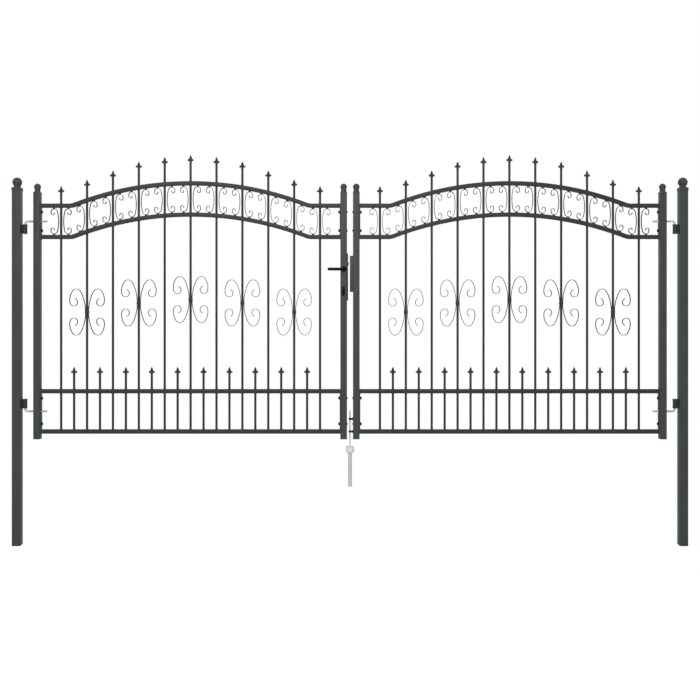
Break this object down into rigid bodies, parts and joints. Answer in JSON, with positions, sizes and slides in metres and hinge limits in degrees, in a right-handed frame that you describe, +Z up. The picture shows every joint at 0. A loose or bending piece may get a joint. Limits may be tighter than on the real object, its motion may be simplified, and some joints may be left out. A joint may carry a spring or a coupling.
{
  "type": "double driveway gate",
  "caption": "Double-leaf driveway gate with arched frieze, spear-topped bars, scroll ornament, lever lock, drop bolt and two posts on hooked hinge rods.",
  "frame": {"origin": "centre of the left post's foot, 600 mm below ground level", "axes": "+X along the closed gate from the left post to the right post, +Y away from the viewer towards the side that the leaves open to, +Z up"},
  "size_m": [4.067, 0.1306, 2.3505],
  "materials": {
    "frame_paint": "satin dark grey-green powder coat",
    "lattice_paint": "satin dark grey powder coat",
    "bracket_black": "satin black coat",
    "lever_black": "satin black",
    "plug_black": "matte black moulded plastic",
    "zinc_steel": "bright zinc plate",
    "galvanised_steel": "dull galvanised, faintly spangled"
  },
  "bodies": {
    "posts": {"left_post": "frame_paint", "right_post": "frame_paint", "post_caps": "frame_paint", "post_plugs": "plug_black", "left_brackets": "bracket_black", "right_brackets": "bracket_black", "ground_socket": "galvanised_steel"},
    "left_leaf": {"left_arched_rail": "lattice_paint", "left_bottom_rail": "lattice_paint", "left_end_plates": "frame_paint", "left_frieze_scrolls": "lattice_paint", "left_hinge_rods": "zinc_steel", "left_hinge_stile": "frame_paint", "left_lock_stile": "frame_paint", "left_middle_rail": "lattice_paint", "left_rosettes": "lattice_paint", "left_short_bars": "lattice_paint", "left_spear_points": "lattice_paint", "left_stile_caps": "frame_paint", "left_stile_plugs": "plug_black", "left_tall_bars": "lattice_paint", "left_top_rail": "lattice_paint", "lock_case": "bracket_black", "lock_cylinder": "lever_black", "lever_roses": "lever_black"},
    "right_leaf": {"right_arched_rail": "lattice_paint", "right_bottom_rail": "lattice_paint", "right_end_plates": "frame_paint", "right_frieze_scrolls": "lattice_paint", "right_hinge_rods": "zinc_steel", "right_hinge_stile": "frame_paint", "right_lock_stile": "frame_paint", "right_middle_rail": "lattice_paint", "right_rosettes": "lattice_paint", "right_short_bars": "lattice_paint", "right_spear_points": "lattice_paint", "right_stile_caps": "frame_paint", "right_stile_plugs": "plug_black", "right_tall_bars": "lattice_paint", "right_top_rail": "lattice_paint", "lock_keep": "frame_paint", "drop_bolt_eyes": "bracket_black"},
    "lever": {"lever_handles": "lever_black"},
    "latch": {"latch": "zinc_steel"},
    "drop_bolt": {"drop_bolt": "zinc_steel"}
  },
  "joints": [
    {"name": "left_leaf_hinge", "type": "hinge", "parent": "posts", "child": "left_leaf", "pos_m": [0.048, 0, 1.375], "axis": [0, 0, 1], "range_deg": [0, 90]},
    {"name": "right_leaf_hinge", "type": "hinge", "parent": "posts", "child": "right_leaf", "pos_m": [3.962, 0, 1.375], "axis": [0, 0, -1], "range_deg": [0, 90]},
    {"name": "lever_turn", "type": "hinge", "parent": "left_leaf", "child": "lever", "pos_m": [1.969, 0, 1.663], "axis": [0, -1, 0], "range_deg": [0, 40], "stiffness_Nm_per_rad": 1, "springref_deg": -20.05},
    {"name": "latch_slide", "type": "slide", "parent": "left_leaf", "child": "latch", "axis": [-1, 0, 0], "range_m": [0, 0.005]},
    {"name": "drop_bolt_slide", "type": "slide", "parent": "right_leaf", "child": "drop_bolt", "axis": [0, 0, 1], "range_m": [-0.025, 0.02]}
  ],
  "couplings": [
    {"joint": "latch_slide", "follows": "lever_turn", "m_per_rad": 0.007161}
  ]
}
